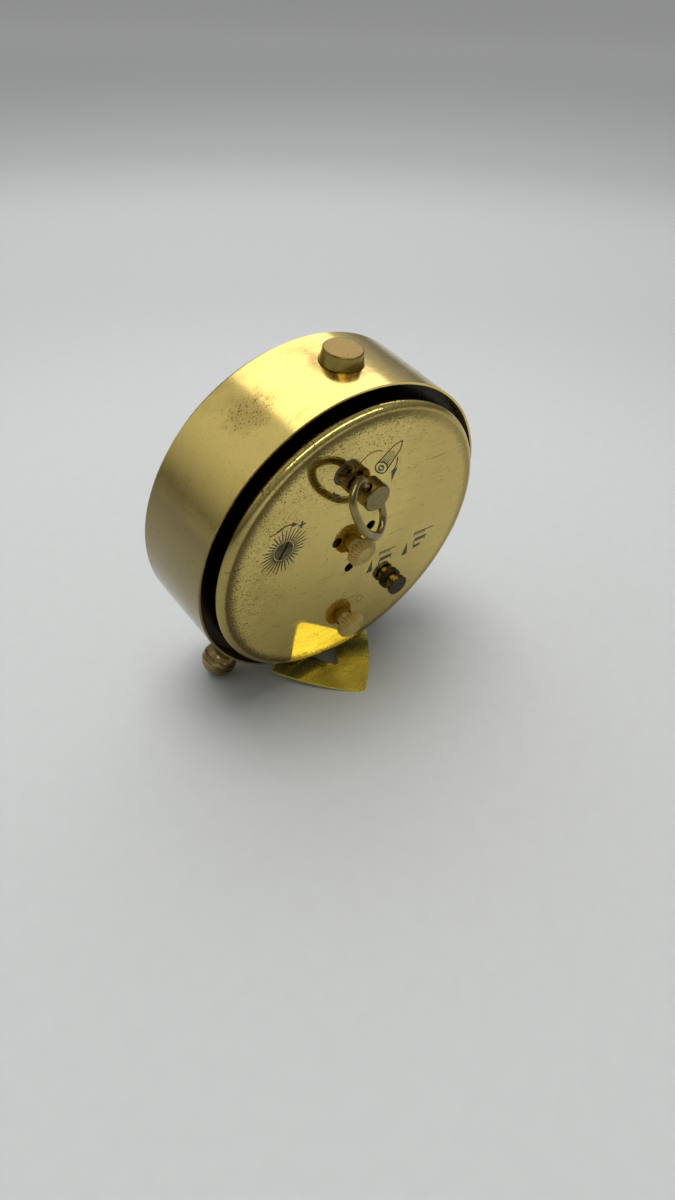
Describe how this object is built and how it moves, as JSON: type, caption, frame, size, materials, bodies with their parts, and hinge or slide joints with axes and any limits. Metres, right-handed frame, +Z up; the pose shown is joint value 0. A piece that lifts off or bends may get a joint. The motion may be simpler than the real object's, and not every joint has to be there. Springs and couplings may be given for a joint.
{
  "type": "mechanical alarm clock",
  "caption": "Small round wind-up alarm clock in a brass drum case, leaning back on ball feet and a flat rear strut.",
  "frame": {"origin": "centre of the footprint on the surface that the clock stands on", "axes": "+Z up, the dial faces -Y, +X is to the right as seen from the dial side"},
  "size_m": [0.07, 0.0418, 0.0761],
  "materials": {
    "polished_brass": "polished, tarnished",
    "cover_brass": "mirror polished, pitted",
    "strut_brass": "satin",
    "dark_brass": "aged",
    "key_metal": "worn plating",
    "cream_plastic": "gloss",
    "blackened_steel": "matt black",
    "dial_paint": "satin",
    "crystal": "clear",
    "plate_brass": "brushed",
    "steel": "fine",
    "spring_steel": "blued"
  },
  "bodies": {
    "case": {"case_drum": "polished_brass", "front_bezel": "polished_brass", "crystal": "crystal", "dial": "dial_paint", "dial_spacer": "blackened_steel", "movement_ring": "blackened_steel", "movement_front_plate": "plate_brass", "movement_back_plate": "plate_brass", "plate_pillars": "plate_brass", "pillar_nuts": "steel", "plate_screws": "steel", "back_cover": "cover_brass", "foot_left": "dark_brass", "foot_right": "dark_brass", "rear_strut": "strut_brass", "strut_screw": "steel", "shut_off_bush": "blackened_steel", "button_spring": "spring_steel"},
    "button": {"press_button": "polished_brass", "button_clip": "spring_steel"},
    "key": {"winding_key": "key_metal", "winding_arbor": "steel"},
    "ring": {"key_ring": "key_metal"},
    "hand_setting": {"hand_setting_knob": "cream_plastic", "centre_arbor": "steel", "cannon_pinion": "steel", "minute_hand": "spring_steel"},
    "minute_work": {"minute_wheel": "plate_brass"},
    "hour_work": {"hour_wheel": "plate_brass", "hour_hand": "spring_steel"},
    "alarm_setting": {"alarm_setting_knob": "cream_plastic", "alarm_arbor": "steel"},
    "alarm_work": {"alarm_wheel": "plate_brass", "alarm_hand": "spring_steel"},
    "shut_off": {"shut_off_knob": "dark_brass"},
    "regulator": {"regulator_disc": "steel", "regulator_arm": "steel"},
    "going_barrel": {"time_barrel": "plate_brass", "time_mainspring": "spring_steel"},
    "centre_train": {"centre_wheel": "plate_brass"},
    "third_train": {"third_wheel": "plate_brass", "third_arbor": "steel"},
    "fourth_train": {"fourth_wheel": "plate_brass", "fourth_arbor": "steel"},
    "escape_train": {"escape_wheel": "plate_brass", "escape_arbor": "steel"},
    "pallets": {"pallet_lever": "steel"},
    "balance": {"balance_wheel": "plate_brass", "balance_staff": "steel", "hairspring": "spring_steel"},
    "strike_barrel": {"alarm_barrel": "plate_brass", "alarm_mainspring": "spring_steel"},
    "strike_train": {"strike_wheel": "plate_brass"},
    "hammer": {"alarm_hammer": "steel"}
  },
  "joints": [
    {"name": "button_press", "type": "slide", "parent": "case", "child": "button", "axis": [0, -0.1908, -0.9816], "range_m": [0, 0.0012], "stiffness_N_per_m": 300, "springref_m": -0.002, "deforming": ["button_spring"]},
    {"name": "key_turn", "type": "hinge", "parent": "case", "child": "key", "pos_m": [0.00145, 0.01009, 0.05218], "axis": [0, 0.9816, -0.1908], "continuous": true},
    {"name": "ring_swing", "type": "hinge", "parent": "key", "child": "ring", "pos_m": [0.00145, 0.01642, 0.05095], "axis": [0.617, 0.1502, 0.7725], "range_deg": [-48, 159]},
    {"name": "hand_setting_turn", "type": "hinge", "parent": "case", "child": "hand_setting", "pos_m": [0, 0.00706, 0.03658], "axis": [0, 0.9816, -0.1908], "continuous": true},
    {"name": "minute_wheel_turn", "type": "hinge", "parent": "case", "child": "minute_work", "pos_m": [-0.00424, 0.00787, 0.04074], "axis": [0, 0.9816, -0.1908], "continuous": true},
    {"name": "hour_hand_turn", "type": "hinge", "parent": "case", "child": "hour_work", "pos_m": [0, 0.00706, 0.03658], "axis": [0, 0.9816, -0.1908], "continuous": true},
    {"name": "alarm_setting_turn", "type": "hinge", "parent": "case", "child": "alarm_setting", "pos_m": [-0.0016, 0.00283, 0.01483], "axis": [0, 0.9816, -0.1908], "continuous": true},
    {"name": "alarm_hand_turn", "type": "hinge", "parent": "case", "child": "alarm_work", "pos_m": [0, 0.00706, 0.03658], "axis": [0, 0.9816, -0.1908], "continuous": true},
    {"name": "shut_off_pull", "type": "slide", "parent": "case", "child": "shut_off", "axis": [0, 0.9816, -0.1908], "range_m": [0, 0.0015]},
    {"name": "regulator_turn", "type": "hinge", "parent": "case", "child": "regulator", "pos_m": [0.0187, 0.00826, 0.04276], "axis": [0, 0.9816, -0.1908], "range_deg": [-15, 15]},
    {"name": "going_barrel_turn", "type": "hinge", "parent": "case", "child": "going_barrel", "pos_m": [0.00145, 0.01009, 0.05218], "axis": [0, 0.9816, -0.1908], "continuous": true},
    {"name": "centre_wheel_turn", "type": "hinge", "parent": "case", "child": "centre_train", "pos_m": [0, 0.00706, 0.03658], "axis": [0, 0.9816, -0.1908], "continuous": true},
    {"name": "third_wheel_turn", "type": "hinge", "parent": "case", "child": "third_train", "pos_m": [-0.00432, 0.00563, 0.02923], "axis": [0, 0.9816, -0.1908], "continuous": true},
    {"name": "fourth_wheel_turn", "type": "hinge", "parent": "case", "child": "fourth_train", "pos_m": [0.00157, 0.00498, 0.02589], "axis": [0, 0.9816, -0.1908], "continuous": true},
    {"name": "escape_wheel_turn", "type": "hinge", "parent": "case", "child": "escape_train", "pos_m": [0.0076, 0.00478, 0.02485], "axis": [0, 0.9816, -0.1908], "continuous": true},
    {"name": "pallet_rock", "type": "hinge", "parent": "case", "child": "pallets", "pos_m": [0.01097, 0.00532, 0.02763], "axis": [0, 0.9816, -0.1908], "range_deg": [-4, 4]},
    {"name": "balance_swing", "type": "hinge", "parent": "case", "child": "balance", "pos_m": [0.01457, 0.00651, 0.03375], "axis": [0, 0.9816, -0.1908], "range_deg": [-135, 135], "stiffness_Nm_per_rad": 0.000003},
    {"name": "alarm_barrel_turn", "type": "hinge", "parent": "case", "child": "strike_barrel", "pos_m": [0.00145, 0.01009, 0.05218], "axis": [0, 0.9816, -0.1908], "continuous": true},
    {"name": "strike_wheel_turn", "type": "hinge", "parent": "case", "child": "strike_train", "pos_m": [-0.01163, 0.00835, 0.04319], "axis": [0, 0.9816, -0.1908], "continuous": true},
    {"name": "hammer_swing", "type": "hinge", "parent": "case", "child": "hammer", "pos_m": [-0.0195, 0.00717, 0.03716], "axis": [0, 0.9816, -0.1908], "range_deg": [-4, 4]}
  ],
  "couplings": [
    {"joint": "minute_wheel_turn", "follows": "hand_setting_turn", "ratio": -0.33333},
    {"joint": "hour_hand_turn", "follows": "hand_setting_turn", "ratio": 0.083333},
    {"joint": "alarm_hand_turn", "follows": "alarm_setting_turn", "ratio": -0.25},
    {"joint": "third_wheel_turn", "follows": "fourth_wheel_turn", "ratio": -0.13333},
    {"joint": "centre_wheel_turn", "follows": "fourth_wheel_turn", "ratio": 0.016667},
    {"joint": "going_barrel_turn", "follows": "fourth_wheel_turn", "ratio": -0.0033333},
    {"joint": "escape_wheel_turn", "follows": "fourth_wheel_turn", "ratio": -7.5},
    {"joint": "strike_wheel_turn", "follows": "alarm_barrel_turn", "ratio": -5}
  ]
}
